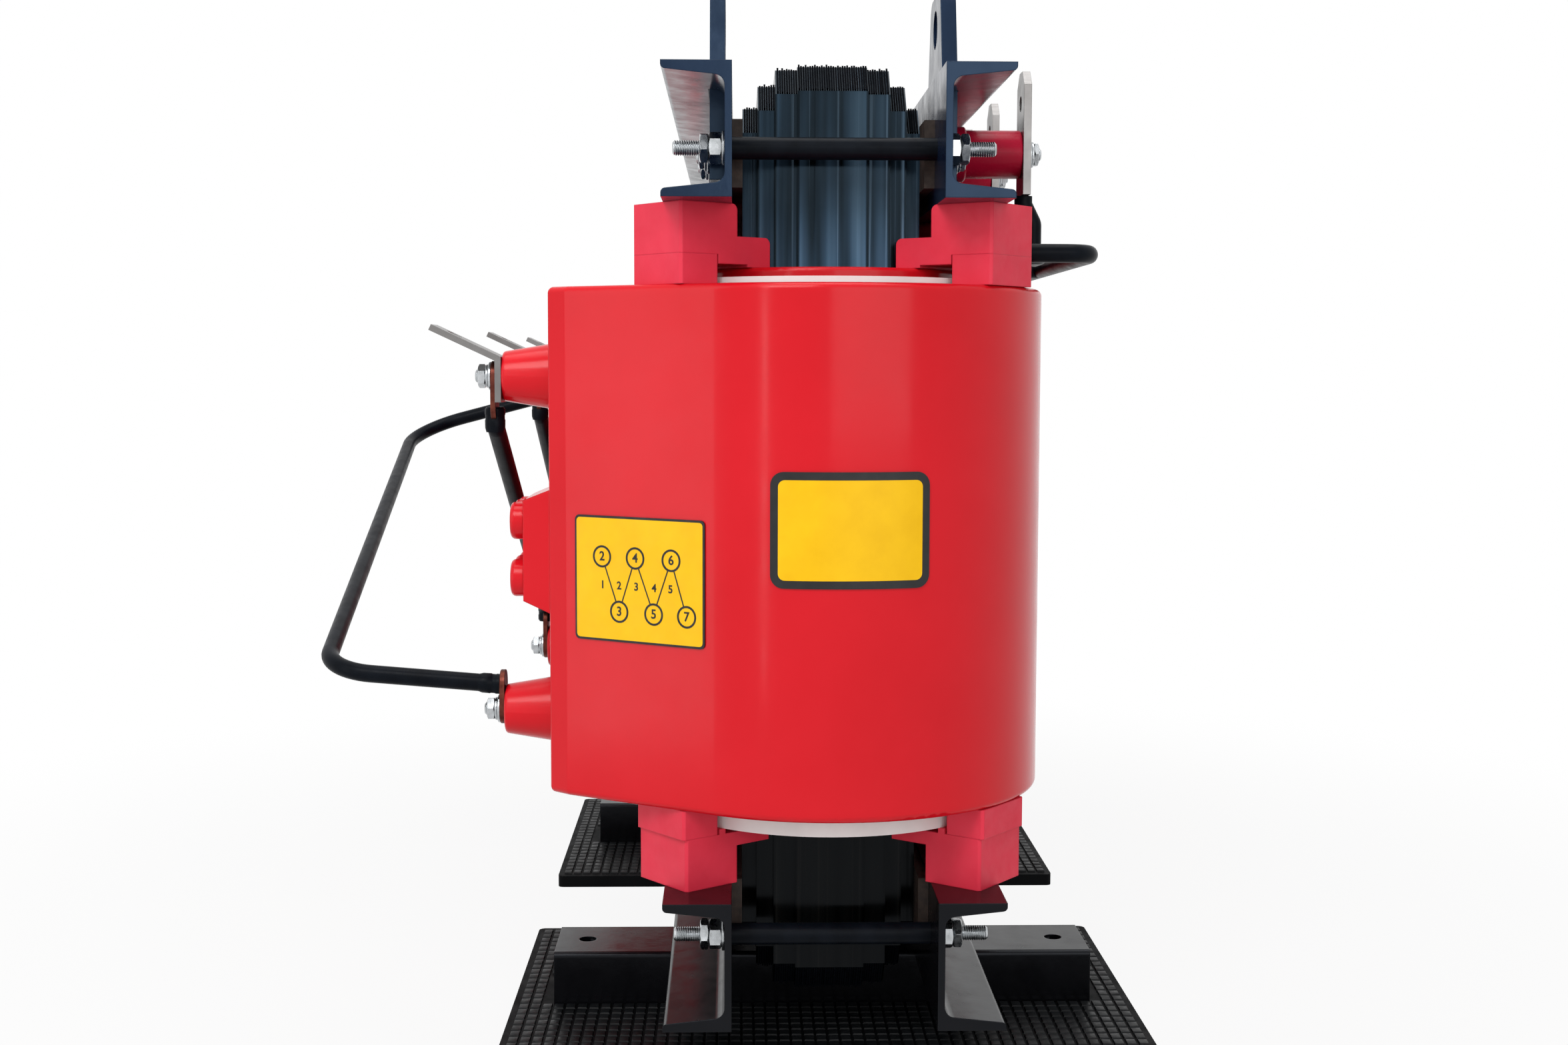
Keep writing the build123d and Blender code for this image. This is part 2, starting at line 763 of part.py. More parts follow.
def neutral_link():
    """Sleeved star connection outside the bars, tapped to the neutral bar."""
    with BuildPart() as link:
        a_x = phases["a"] + lead_offset
        b_x = phases["b"] + lead_offset
        c_x = phases["c"] - lead_offset
        main = (
            (a_x, lead_ring_y, lv_top),
            (a_x, lead_ring_y, lead_z),
            (a_x, neutral_y, lead_z),
            (c_x, neutral_y, lead_z),
            (c_x, lead_ring_y, lead_z),
            (c_x, lead_ring_y, lv_top),
        )
        sleeved(main, (lead_bend, lead_sweep, lead_sweep, lead_bend))
        sleeved(((b_x, lead_ring_y, lv_top), (b_x, lead_ring_y, lead_z), (b_x, neutral_y, lead_z)), lead_bend)
        n_x = bars["n"]
        sleeved(((n_x, neutral_y, lead_z), (n_x, bar_mid_y, lead_z), (n_x, bar_mid_y, bar_low_z)), lead_bend)
    return link.part


def main():
    """Build every piece and write it out."""
    os.makedirs("parts", exist_ok=True)
    for place, x in beam_places.items():
        save(base_mat(x), f"{place}_rubber_mat")
        save(base_channel(x), f"{place}_base_channel")
    for name, side in (("hv", -1), ("lv", 1)):
        save(clamp(beam_top, rod_heights[0], side, False), f"bottom_clamp_{name}")
        save(clamp(top_clamp_z, rod_heights[1], side, True), f"top_clamp_{name}")
        save(lifting_lug(lug_x, side), f"front_lug_{name}")
        save(lifting_lug(-lug_x, side), f"rear_lug_{name}")
    save(packets(end_limb(1)), "core_limb_a")
    save(packets(middle_limb), "core_limb_b")
    save(packets(end_limb(-1)), "core_limb_c")
    save(packets(yoke(top_yoke_z, 1)), "top_yoke")
    save(packets(yoke(bottom_yoke_z, -1)), "bottom_yoke")
    save(yoke_boards(), "yoke_boards")
    save(barrier_tubes(), "barrier_tubes")
    for phase, x in phases.items():
        save(hv_coil(x), f"hv_coil_{phase}")
        save(lv_coil(x), f"lv_coil_{phase}")
        save(terminal_arm(x), f"hv_terminal_{phase}")
    save(spread(top_block()), "top_blocks")
    save(spread(top_spacer()), "top_spacers")
    save(spread(bottom_block()), "bottom_blocks")
    save(spread(bottom_spacer()), "bottom_spacers")
    save(tap_caps(), "tap_caps")
    save(tap_links(), "tap_links")
    save(tie_rods(), "tie_rods")
    save(rod_sleeves(), "tie_rod_sleeves")
    save(lug_bolts(), "lug_bolts")
    tops = {phase: (x, boss_top_z, -1, arm_seat_y) for phase, x in phases.items()}
    lows = {phase: (x, boss_low_z, 1, boss_tip_y) for phase, x in phases.items()}
    save(delta_link((tops["a"], lows["b"]), link_drop, slanted, link_bend), "delta_link_ab")
    save(delta_link((tops["b"], lows["c"]), link_drop, slanted, link_bend), "delta_link_bc")
    save(delta_link((lows["a"], tops["c"]), loop_drop, looped, (loop_low_bend, loop_top_bend)), "delta_link_ca")
    save(terminal_bolts(), "hv_terminal_bolts")
    save(insulators(), "lv_insulators")
    for phase, x in bars.items():
        save(lv_bar(x), f"lv_bar_{phase}")
    save(bar_bolts(), "lv_bolts")
    save(phase_leads(), "lv_leads")
    save(neutral_link(), "neutral_link")


main()
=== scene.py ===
"""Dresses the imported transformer: paint, resin and metal finishes, fine fittings, light and camera."""
import json
import math
import random
from collections import namedtuple
from itertools import product

import bmesh
import bpy
from mathutils import Matrix, Vector


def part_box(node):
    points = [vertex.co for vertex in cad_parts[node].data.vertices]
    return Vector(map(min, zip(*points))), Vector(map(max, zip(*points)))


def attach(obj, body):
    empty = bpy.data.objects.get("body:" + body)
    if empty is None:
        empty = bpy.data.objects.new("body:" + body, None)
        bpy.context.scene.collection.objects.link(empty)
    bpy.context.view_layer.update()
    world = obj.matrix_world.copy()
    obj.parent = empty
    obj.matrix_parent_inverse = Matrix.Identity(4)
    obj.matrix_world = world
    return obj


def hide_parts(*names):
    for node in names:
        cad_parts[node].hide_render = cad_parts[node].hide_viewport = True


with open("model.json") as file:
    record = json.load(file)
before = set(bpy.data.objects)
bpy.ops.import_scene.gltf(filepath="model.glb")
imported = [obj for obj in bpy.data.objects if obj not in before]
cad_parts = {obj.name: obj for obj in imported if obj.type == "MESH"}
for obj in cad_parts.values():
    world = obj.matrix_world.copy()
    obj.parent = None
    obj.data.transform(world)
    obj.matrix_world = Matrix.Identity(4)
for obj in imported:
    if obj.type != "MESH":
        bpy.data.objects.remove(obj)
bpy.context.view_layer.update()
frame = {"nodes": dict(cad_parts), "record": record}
nodes = frame["nodes"]
scene = bpy.context.scene
X, Y, Z = 0, 1, 2


def middle(name, axis):
    """Middle of a node's box along one axis."""
    low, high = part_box(name)
    return (low[axis] + high[axis]) / 2


# All lengths are in metres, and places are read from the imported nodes

# Core: packets fill the limb's circle up to the widest sheet, by shares of its radius
LIMB_LOW, LIMB_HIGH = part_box("core_limb_a")
PHASES = {phase: middle(f"core_limb_{phase}", X) for phase in "abc"}
YOKE_HEIGHTS = {1: middle("top_yoke", Z), -1: middle("bottom_yoke", Z)}
PACKET_STACK_SHARES = (0.337, 0.55, 0.717, 0.862)
CORE_HALF_STACK = LIMB_HIGH[Y]
CORE_R = CORE_HALF_STACK / PACKET_STACK_SHARES[-1]
SHEET_HALF_WIDTH = (LIMB_HIGH[X] - LIMB_LOW[X]) / 2
PACKET_HALF_STACKS = [share * CORE_R for share in PACKET_STACK_SHARES]
PACKET_HALF_WIDTHS = [
    min(SHEET_HALF_WIDTH, math.sqrt(CORE_R ** 2 - half_stack ** 2)) for half_stack in PACKET_HALF_STACKS
]
CORE_CUT = 2 * (LIMB_HIGH[X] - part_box("top_yoke")[1][X])
SHEET_PITCH = 0.0018
SHEET_HALF_SHARE = 0.38
SHEET_OUT = (0.0003, 0.0026)
SHEET_SEED = 7

# Cast coil: round front, and flat sides that leave it as tangents at an angle
COIL_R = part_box("hv_coil_a")[1][Y]
COIL_TANGENT = math.radians(32)
COIL_CORNER_HALF = 0.073
COIL_TOUCH_X = COIL_R * math.cos(COIL_TANGENT)
COIL_TOUCH_Y = -COIL_R * math.sin(COIL_TANGENT)
COIL_CORNER_Y = COIL_TOUCH_Y - (COIL_TOUCH_X - COIL_CORNER_HALF) / math.tan(COIL_TANGENT)

# High-voltage bosses, and the links' flat palms on them
BOSS_TIP_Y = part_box("hv_coil_a")[0][Y]
BOSS_MIDDLE_Z = middle("hv_terminal_bolts", Z)
BOSS_HALF_SPACING = 0.1365
BOSS_TOP_Z = BOSS_MIDDLE_Z + BOSS_HALF_SPACING
BOSS_LOW_Z = BOSS_MIDDLE_Z - BOSS_HALF_SPACING
ARM_THICKNESS = 0.005
ARM_SEAT_Y = BOSS_TIP_Y - ARM_THICKNESS
PALM_THICKNESS = 0.004
PALM_WIDTH = 0.024
PALM_GROW = 0.0008
PALM_BACK = 0.0002
PALM_EASE = 0.0006
LINK_DROP = 0.025
LOOP_DROP = 0.020
LOOP_LOW_REACH, LOOP_LOW_RISE = 0.149, 0.032
LOOP_TOP_REACH, LOOP_TOP_FALL = 0.192, 0.069
LOOP_LOW = (PHASES["a"], BOSS_TIP_Y - LOOP_LOW_REACH, BOSS_LOW_Z + LOOP_LOW_RISE)
LOOP_TOP = (PHASES["c"], BOSS_TIP_Y - LOOP_TOP_REACH, BOSS_TOP_Z - LOOP_TOP_FALL)
COLLAR_PROFILE = (
    (0.0074, 0.0006), (0.0082, 0.0016), (0.0083, 0.006), (0.0079, 0.0068),
    (0.0079, 0.0098), (0.0083, 0.0106), (0.0082, 0.017), (0.0072, 0.0205),
)

# Tie rods: heights above the outer face of the clamp at which nuts and threads sit
CLAMP_OUT, LUG_OUT = (corner[Y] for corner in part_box("front_lug_lv"))
SLEEVE_R = 0.0085
ROD_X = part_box("tie_rod_sleeves")[1][X] - SLEEVE_R
ROD_SHIFT = 0.007
ROD_HEIGHTS = (middle("bottom_clamp_lv", Z) + ROD_SHIFT, middle("top_clamp_lv", Z) - ROD_SHIFT)
ROD_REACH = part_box("tie_rods")[1][Y] - CLAMP_OUT
ROD_R = 0.006
ROD_PITCH = 0.00175
ROD_CORE_R = 0.0056
ROD_CORE_REACH = 0.019
ROD_WASHER_R = 0.013
ROD_WASHER_T = 0.0025
NUT_FLAT = 0.021
NUT_HEIGHT = 0.010
LOCK_NUT_SEAT = 0.0127
LOCK_NUT_HEIGHT = 0.0068
LOCK_NUT_TURN = 0.35
ROD_THREAD_SEAT = 0.0185

# Bolts: a flat washer, a spring washer, a head and a short tail
BoltSize = namedtuple("BoltSize", "washer_r washer_t flat height")
FRAME_BOLT = BoltSize(washer_r=0.013, washer_t=0.0025, flat=0.018, height=0.009)
TERMINAL_BOLT = BoltSize(washer_r=0.0115, washer_t=0.003, flat=0.017, height=0.011)
FLAT_WASHER_CUT = 0.0005
STACK_LAP = 0.0003
SPRING_SHARE = 0.82
SPRING_T = 0.0022
HEAD_CUT = 0.0026
TAIL_SINK = 0.0006
TAIL_R = 0.0058
TAIL_LENGTH = 0.0029
TAIL_PITCH = 0.0015
LUG_BOLT_HALF_SPACING = 0.036
LUG_X = middle("front_lug_lv", X)
LUG_BOLTS_X = [LUG_X - LUG_BOLT_HALF_SPACING, LUG_X + LUG_BOLT_HALF_SPACING]
LUG_BOLT_Z = middle("lug_bolts", Z)
BARS_X = [middle(f"lv_bar_{name}", X) for name in "anbc"]
BAR_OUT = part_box("lv_bar_a")[1][Y]
INSULATOR_Z = middle("lv_insulators", Z)

# Fasteners: eased washer edges, chamfered corners and cut threads, as shares of their sizes
WASHER_EASE = 0.25
CHAMFER_SHARE = 0.95
CHAMFER_SLOPE = math.tan(math.radians(30))
HEX_TURN = math.pi / 3
THREAD_DEPTH = 0.6
THREAD_TIP = 0.85

# Mats: raised studs with shares of their size at each height
STUD_STEP_X, STUD_STEP_Y = 0.0136, 0.0100
STUD_SIZE_X, STUD_SIZE_Y = 0.0117, 0.0082
STUD_RISE = 0.0018
STUD_PROFILE = ((1.0, -0.0003), (0.96, STUD_RISE * 0.45), (0.86, STUD_RISE * 0.85), (0.66, STUD_RISE))
STUD_MARGIN = 0.0015
STUD_BORDER = 0.006
STUD_LEAN_X, STUD_LEAN_Y = 0.03, 0.04
STUD_SEED = 11

# Plates: each a dark rim and a yellow face, between two heights above the coil
PlateSize = namedtuple("PlateSize", "width height corner low high")
TAP_RIM = PlateSize(width=0.120, height=0.097, corner=0.004, low=-0.0005, high=0.0012)
TAP_FACE = PlateSize(width=0.1165, height=0.0935, corner=0.003, low=0.0006, high=0.0014)
TAP_PLATE_ALONG, TAP_PLATE_Z = 0.070, 0.3935
BLANK_RIM = PlateSize(width=0.120, height=0.086, corner=0.010, low=-0.0005, high=0.0010)
BLANK_FACE = PlateSize(width=0.108, height=0.074, corner=0.005, low=0.0004, high=0.0014)
BLANK_PLATE_TURN, BLANK_PLATE_Z = math.radians(3.3), 0.437

# Print on the tap plate: rings in two rows, lines from ring to ring, and numerals
MARK_LOW, MARK_HIGH = 0.0013, 0.0016
TOP_RINGS_U, TOP_RINGS_V = (-0.034, -0.003, 0.030), 0.017
LOW_RINGS_U, LOW_RINGS_V = (-0.018, 0.014, 0.044), -0.025
RING_R = 0.0078
RING_WIDTH = 0.0016
LINE_WIDTH = 0.001
LINE_GAP = 0.0006
RING_NUMERAL = 0.010
LINE_NUMERAL = 0.0085
LINE_NUMERAL_SHIFT = Vector((-0.0075, -0.001))
NUMERAL_BOLD = 0.00018
MERGE_DISTANCE = 1e-6
SHARP_ANGLE = math.radians(32)

# Camera: turns in radians, focal length in pixels of the full frame
IMAGE_WIDTH = 2352
SENSOR_WIDTH = 36.0
CAMERA_PLACE = (1.9385, -0.0742, 0.5577)
CAMERA_YAW = 0.0246
CAMERA_PITCH = 0.0812
CAMERA_ROLL = -0.0027
FOCAL_PIXELS = 2896.0
CAMERA_SIGHT = 100

# Lamps in watts, the world's fill, and the floor's glow to the camera between two distances
Lamp = namedtuple("Lamp", "name place target size power")
OBJECT_MIDDLE = (0.3, 0, 0.45)
LAMPS = (
    Lamp("key", (2.6, -1.1, 2.8), OBJECT_MIDDLE, (1.4, 1.4), 51),
    Lamp("top", (0.2, 0, 3.2), OBJECT_MIDDLE, (2.4, 1.6), 38),
    Lamp("front_box", (2.9, 0.9, 1.15), (0.5, 0, 1.0), (2.0, 1.5), 17),
    Lamp("side_panel", (0.93, -1.25, 0.7), (0.47, -0.148, 0.5), (0.34, 1.7), 3.0),
    Lamp("strip", (2.15, -1.22, 0.9), (0.52, -0.054, 0.6), (0.035, 2.0), 2.6),
)
WHITE = (1, 1, 1, 1)
WORLD_FILL = 0.42
FLOOR_REACH = 40.0
FLOOR_COLOUR = (0.6, 0.6, 0.595, 1)
FLOOR_ROUGHNESS = 0.8
FLOOR_NEAR, FLOOR_FAR = 0.5, 1.4
FLOOR_NEAR_GLOW = 0.9

# Finishes: the middle stretch of a noise, and the colour sockets of a mix node
NOISE_LOW, NOISE_HIGH = 0.3, 0.7
MIX_FIRST, MIX_SECOND, MIX_RESULT = 6, 7, 2
BEVEL_SAMPLES = 4


def add_camera():
    """Camera at the photograph's place, looking along -X."""
    forward = Vector((-math.cos(CAMERA_YAW), math.sin(CAMERA_YAW), 0))
    right = Vector((math.sin(CAMERA_YAW), math.cos(CAMERA_YAW), 0))
    rise = Vector((0, 0, 1))
    ahead = forward * math.cos(CAMERA_PITCH) - rise * math.sin(CAMERA_PITCH)
    up = forward * math.sin(CAMERA_PITCH) + rise * math.cos(CAMERA_PITCH)
    side = right * math.cos(CAMERA_ROLL) - up * math.sin(CAMERA_ROLL)
    top = up * math.cos(CAMERA_ROLL) + right * math.sin(CAMERA_ROLL)
    data = bpy.data.cameras.new("camera")
    data.sensor_fit = "HORIZONTAL"
    data.sensor_width = SENSOR_WIDTH
    data.lens = SENSOR_WIDTH * FOCAL_PIXELS / IMAGE_WIDTH
    data.clip_end = CAMERA_SIGHT
    camera = bpy.data.objects.new("camera", data)
    turn = Matrix((side, top, -ahead)).transposed().to_4x4()
    camera.matrix_world = Matrix.Translation(CAMERA_PLACE) @ turn
    scene.collection.objects.link(camera)
    scene.camera = camera


class Finish:
    """A node material under way: a Principled shader with textures in the row frame's metres."""

    def __init__(self, name, **sockets):
        self.material = bpy.data.materials.new(name)
        self.material.use_nodes = True
        self.tree = self.material.node_tree
        self.shader = self.tree.nodes["Principled BSDF"]
        self.place = self.tree.nodes.new("ShaderNodeTexCoord").outputs["Object"]
        self.edge = None
        for socket, value in sockets.items():
            self.shader.inputs[socket.replace("_", " ")].default_value = value

    def add(self, kind, **settings):
        """New node with its properties and input sockets set."""
        node = self.tree.nodes.new(kind)
        for key, value in settings.items():
            if hasattr(node, key):
                setattr(node, key, value)
            else:
                node.inputs[key.replace("_", " ")].default_value = value
        return node

    def link(self, source, target):
        """Joins an output to an input."""
        self.tree.links.new(source, target)

    def drive(self, socket, output):
        """Feeds an output to a socket of the shader."""
        self.link(output, self.shader.inputs[socket])

    def axis(self, name):
        """Row-frame coordinate along one axis."""
        node = self.add("ShaderNodeSeparateXYZ")
        self.link(self.place, node.inputs["Vector"])
        return node.outputs[name]

    def stretched(self, scale):
        """Row-frame coordinates stretched by a scale on each axis."""
        node = self.add("ShaderNodeMapping", Scale=scale)
        self.link(self.place, node.inputs["Vector"])
        return node.outputs["Vector"]

    def noise(self, scale, detail, roughness=0.55, where=None):
        """Noise factor at a scale per metre."""
        node = self.add("ShaderNodeTexNoise", Scale=scale, Detail=detail, Roughness=roughness)
        self.link(where or self.place, node.inputs["Vector"])
        return node.outputs["Fac"]

    def ramp(self, factor, *stops):
        """Colour ramp from (position, colour) stops."""
        node = self.add("ShaderNodeValToRGB")
        elements = node.color_ramp.elements
        while len(elements) < len(stops):
            elements.new(0.5)
        for element, (position, colour) in zip(elements, stops):
            element.position = position
            element.color = (*colour, 1.0)
        self.link(factor, node.inputs["Fac"])
        return node.outputs["Color"]

    def mix(self, first, second, blend_type="MIX", factor=None):
        """Two colours combined, in full or by a factor."""
        node = self.add("ShaderNodeMix", data_type="RGBA", blend_type=blend_type, Factor=1.0)
        if factor:
            self.link(factor, node.inputs["Factor"])
        self.link(first, node.inputs[MIX_FIRST])
        self.link(second, node.inputs[MIX_SECOND])
        return node.outputs[MIX_RESULT]

    def scaled(self, value, start, end, low=0.0, high=1.0):
        """Value mapped from one range to another, and kept within it."""
        node = self.add("ShaderNodeMapRange", From_Min=start, From_Max=end, To_Min=low, To_Max=high)
        self.link(value, node.inputs["Value"])
        return node.outputs["Result"]

    def spread(self, factor, low, high):
        """Middle stretch of a factor mapped to a range."""
        return self.scaled(factor, NOISE_LOW, NOISE_HIGH, low, high)

    def rise(self, low, high):
        """Factor that grows from zero at one height to one at another."""
        return self.scaled(self.axis("Z"), low, high)

    def across(self, reach):
        """Factor that grows from zero on the middle plane to one at a reach to either side."""
        size = self.add("ShaderNodeMath", operation="ABSOLUTE")
        self.link(self.axis("Y"), size.inputs[0])
        return self.scaled(size.outputs["Value"], 0.0, reach)

    def clouds(self, factor, dark, light):
        """Colour that passes from dark to light over the middle stretch of a factor."""
        return self.ramp(factor, (NOISE_LOW, dark), (NOISE_HIGH, light))

    def colour(self, scale, detail, dark, light):
        """Base colour clouded between two tones."""
        self.drive("Base Color", self.clouds(self.noise(scale, detail), dark, light))

    def rough(self, scale, detail, low, high):
        """Roughness clouded between two values."""
        self.drive("Roughness", self.spread(self.noise(scale, detail), low, high))

    def soften(self, radius):
        """Rounds sharp edges in the shading, under any bump."""
        node = self.add("ShaderNodeBevel", samples=BEVEL_SAMPLES, Radius=radius)
        self.edge = node.outputs["Normal"]

    def bump(self, height, distance, strength, under=None):
        """Bump of a height factor; an earlier bump can lie under it."""
        node = self.add("ShaderNodeBump", Strength=strength, Distance=distance)
        self.link(height, node.inputs["Height"])
        if under or self.edge:
            self.link(under or self.edge, node.inputs["Normal"])
        self.drive("Normal", node.outputs["Normal"])
        return node.outputs["Normal"]

    def grain(self, scale, detail, distance, strength, under=None):
        """Bump of a noise."""
        return self.bump(self.noise(scale, detail), distance, strength, under)


def red_resin():
    """Gloss cast resin: even crimson with faint clouding and a slow ripple from the mould."""
    finish = Finish("red_resin", Specular_IOR_Level=0.2)
    finish.colour(scale=7, detail=4, dark=(0.62, 0.005, 0.012), light=(0.68, 0.008, 0.017))
    finish.rough(scale=30, detail=4, low=0.13, high=0.2)
    finish.soften(0.002)
    ripple = finish.grain(scale=11, detail=2, distance=0.001, strength=0.2)
    finish.grain(scale=700, detail=2, distance=0.00004, strength=0.3, under=ripple)
    return finish.material


def red_block():
    """Satin moulded resin: a cooler crimson with a fine grain."""
    finish = Finish("red_block", Specular_IOR_Level=0.32)
    finish.colour(scale=24, detail=5, dark=(0.70, 0.024, 0.054), light=(0.79, 0.034, 0.072))
    finish.rough(scale=110, detail=4, low=0.42, high=0.56)
    finish.soften(0.0012)
    finish.grain(scale=700, detail=3, distance=0.0002, strength=0.25)
    return finish.material


def insulator_red():
    """Gloss moulded resin of the post insulators: the blocks' crimson made darker as painted shade."""
    finish = Finish("insulator_red", Specular_IOR_Level=0.12)
    # Painted shade: a darker crimson than that of red_block
    finish.colour(scale=24, detail=5, dark=(0.38, 0.004, 0.026), light=(0.45, 0.006, 0.034))
    finish.rough(scale=110, detail=4, low=0.2, high=0.32)
    finish.soften(0.0012)
    finish.grain(scale=700, detail=3, distance=0.0001, strength=0.25)
    return finish.material


def navy_steel():
    """Gloss blue-black paint with a little orange peel, darkened towards the base to plain black as painted
    shade.
    """
    finish = Finish("navy_steel")
    # Painted shade: from 0.6 m down to 0.15 m the blue-black gives way to plain black, with a plainer
    # specular tint and less specular
    height = finish.rise(low=0.15, high=0.6)
    cloud = finish.noise(scale=18, detail=4)
    painted_shade_colour = finish.clouds(cloud, dark=(0.002, 0.002, 0.0025), light=(0.004, 0.004, 0.005))
    upper = finish.clouds(cloud, dark=(0.002, 0.006, 0.020), light=(0.006, 0.013, 0.036))
    finish.drive("Base Color", finish.mix(painted_shade_colour, upper, factor=height))
    finish.drive("Specular Tint", finish.clouds(height, dark=(0.85, 0.90, 1.0), light=(0.46, 0.70, 1.0)))
    finish.drive("Specular IOR Level", finish.spread(height, low=0.16, high=0.42))
    finish.rough(scale=45, detail=4, low=0.16, high=0.28)
    finish.soften(0.0012)
    finish.grain(scale=200, detail=3, distance=0.0003, strength=0.2)
    return finish.material


def packet_stops():
    """Ramp stops across the core: plain packets, each with a painted highlight by its edge and painted shade
    in the joint to the next.
    """
    # Painted highlight just inside each packet's edge, and painted shade in the step to the next packet
    plain, edge, painted_seam_shade = (0.62, 0.62, 0.62), (1, 1, 1), (0.04, 0.04, 0.04)
    around_painted_seam = ((-0.07, plain), (-0.03, edge), (-0.012, painted_seam_shade), (0.006, painted_seam_shade), (0.02, plain))
    stops = [(0.0, plain)]
    for share in PACKET_STACK_SHARES[:-1]:
        place = share / PACKET_STACK_SHARES[-1]
        stops += [(place + shift, colour) for shift, colour in around_painted_seam]
    return stops


def core_black():
    """Black varnish over the laminations, with painted light: bluish painted reflections along the sheets, a
    painted highlight by each packet's edge, painted shade between the packets, and painted shade by height
    that leaves the colour full just above the coils.
    """
    finish = Finish("core_black")
    height = finish.rise(low=0.0, high=0.85)
    bands = finish.noise(scale=1, detail=2, roughness=0.5, where=finish.stretched((2, 60, 2)))
    sheets = finish.noise(scale=1, detail=1, roughness=0.5, where=finish.stretched((2, 300, 2)))
    # Painted reflections: bands along the sheets from near black to a light blue
    painted_band_reflections = finish.ramp(
        bands,
        (0.36, (0.003, 0.006, 0.010)),
        (0.5, (0.070, 0.150, 0.250)),
        (0.66, (0.170, 0.340, 0.520)),
    )
    # Painted highlights: thin pale lines along the sheets
    painted_sheet_highlights = finish.ramp(sheets, (0.60, (0, 0, 0)), (0.70, (0.16, 0.27, 0.38)))
    # Painted highlights and painted shade at the packet steps, multiplied into the colour
    packets = finish.ramp(finish.across(CORE_HALF_STACK), *packet_stops())
    # Painted shade by height: near black low down, full just above the coils, darker again towards the top
    shade = finish.ramp(
        height,
        (0.26, (0.03, 0.016, 0.01)),
        (0.735, (1, 1, 1)),
        (0.80, (0.46, 0.44, 0.42)),
        (0.93, (0.2, 0.17, 0.16)),
    )
    painted_streak_reflections = finish.mix(painted_band_reflections, painted_sheet_highlights, "ADD")
    finish.drive("Base Color", finish.mix(finish.mix(painted_streak_reflections, packets, "MULTIPLY"), shade, "MULTIPLY"))
    finish.drive("Specular Tint", finish.clouds(height, dark=(0.85, 0.92, 1.0), light=(0.50, 0.76, 1.0)))
    finish.drive("Specular IOR Level", finish.spread(height, low=0.1, high=0.14))
    finish.rough(scale=26, detail=4, low=0.1, high=0.24)
    waves = finish.bump(bands, distance=0.0012, strength=0.4)
    finish.bump(sheets, distance=0.0002, strength=0.3, under=waves)
    return finish.material


def core_edge():
    """Dull black cut edges of the sheets."""
    finish = Finish("core_edge", Specular_IOR_Level=0.02)
    finish.colour(scale=300, detail=4, dark=(0.001, 0.0012, 0.002), light=(0.003, 0.004, 0.006))
    finish.rough(scale=80, detail=4, low=0.6, high=0.85)
    finish.grain(scale=900, detail=3, distance=0.0003, strength=0.4)
    return finish.material


def board():
    """Dark pressed board with a short fibre."""
    finish = Finish("board", Specular_IOR_Level=0.3)
    finish.colour(scale=150, detail=5, dark=(0.02, 0.014, 0.012), light=(0.05, 0.034, 0.027))
    finish.rough(scale=90, detail=3, low=0.55, high=0.75)
    finish.grain(scale=800, detail=4, distance=0.0003, strength=0.4)
    return finish.material


def white_sheet():
    """Off-white insulating sheet with a faint cloudy cast."""
    finish = Finish("white_sheet")
    finish.colour(scale=25, detail=5, dark=(0.78, 0.78, 0.77), light=(0.88, 0.88, 0.87))
    finish.rough(scale=60, detail=3, low=0.4, high=0.55)
    finish.grain(scale=600, detail=3, distance=0.0002, strength=0.3)
    return finish.material


def zinc_steel():
    """Bright zinc plating, a little cloudy."""
    finish = Finish("zinc_steel", Metallic=1.0)
    finish.colour(scale=160, detail=4, dark=(0.40, 0.42, 0.43), light=(0.58, 0.60, 0.62))
    finish.rough(scale=220, detail=4, low=0.2, high=0.36)
    finish.soften(0.0004)
    finish.grain(scale=1500, detail=2, distance=0.00005, strength=0.3)
    return finish.material


def black_sleeve():
    """Shrink sleeve: soft black with fine wrinkles."""
    finish = Finish("black_sleeve", Specular_IOR_Level=0.06)
    finish.colour(scale=50, detail=4, dark=(0.002, 0.003, 0.005), light=(0.005, 0.007, 0.011))
    finish.rough(scale=80, detail=4, low=0.3, high=0.42)
    finish.grain(scale=120, detail=2, distance=0.0001, strength=0.2)
    return finish.material


def bare_aluminium():
    """Bare rolled metal with fine drawn lines."""
    finish = Finish("bare_aluminium", Metallic=1.0)
    drawn = finish.noise(scale=1, detail=3, roughness=0.6, where=finish.stretched((900, 30, 30)))
    finish.drive("Base Color", finish.clouds(drawn, dark=(0.175, 0.167, 0.163), light=(0.235, 0.228, 0.224)))
    finish.rough(scale=70, detail=4, low=0.26, high=0.38)
    finish.soften(0.0006)
    finish.bump(drawn, distance=0.00005, strength=0.2)
    return finish.material


def rubber_mat():
    """Dull black rubber."""
    finish = Finish("rubber_mat", Specular_IOR_Level=0.05)
    finish.colour(scale=30, detail=6, dark=(0.0015, 0.0015, 0.002), light=(0.004, 0.0045, 0.005))
    finish.rough(scale=60, detail=4, low=0.5, high=0.7)
    finish.grain(scale=900, detail=3, distance=0.0003, strength=0.4)
    return finish.material


def rubber_stud():
    """Worn rubber on top of the studs, with a dusty bloom."""
    finish = Finish("rubber_stud", Specular_IOR_Level=0.12)
    finish.colour(scale=45, detail=6, dark=(0.002, 0.0025, 0.003), light=(0.009, 0.010, 0.011))
    finish.rough(scale=120, detail=4, low=0.34, high=0.55)
    finish.grain(scale=260, detail=3, distance=0.0008, strength=0.35)
    return finish.material


def copper():
    """Tarnished copper, brown with warmer patches."""
    finish = Finish("copper", Metallic=1.0)
    finish.colour(scale=120, detail=5, dark=(0.07, 0.018, 0.014), light=(0.17, 0.050, 0.034))
    finish.rough(scale=180, detail=4, low=0.3, high=0.5)
    finish.soften(0.0005)
    finish.grain(scale=900, detail=3, distance=0.0001, strength=0.3)
    return finish.material


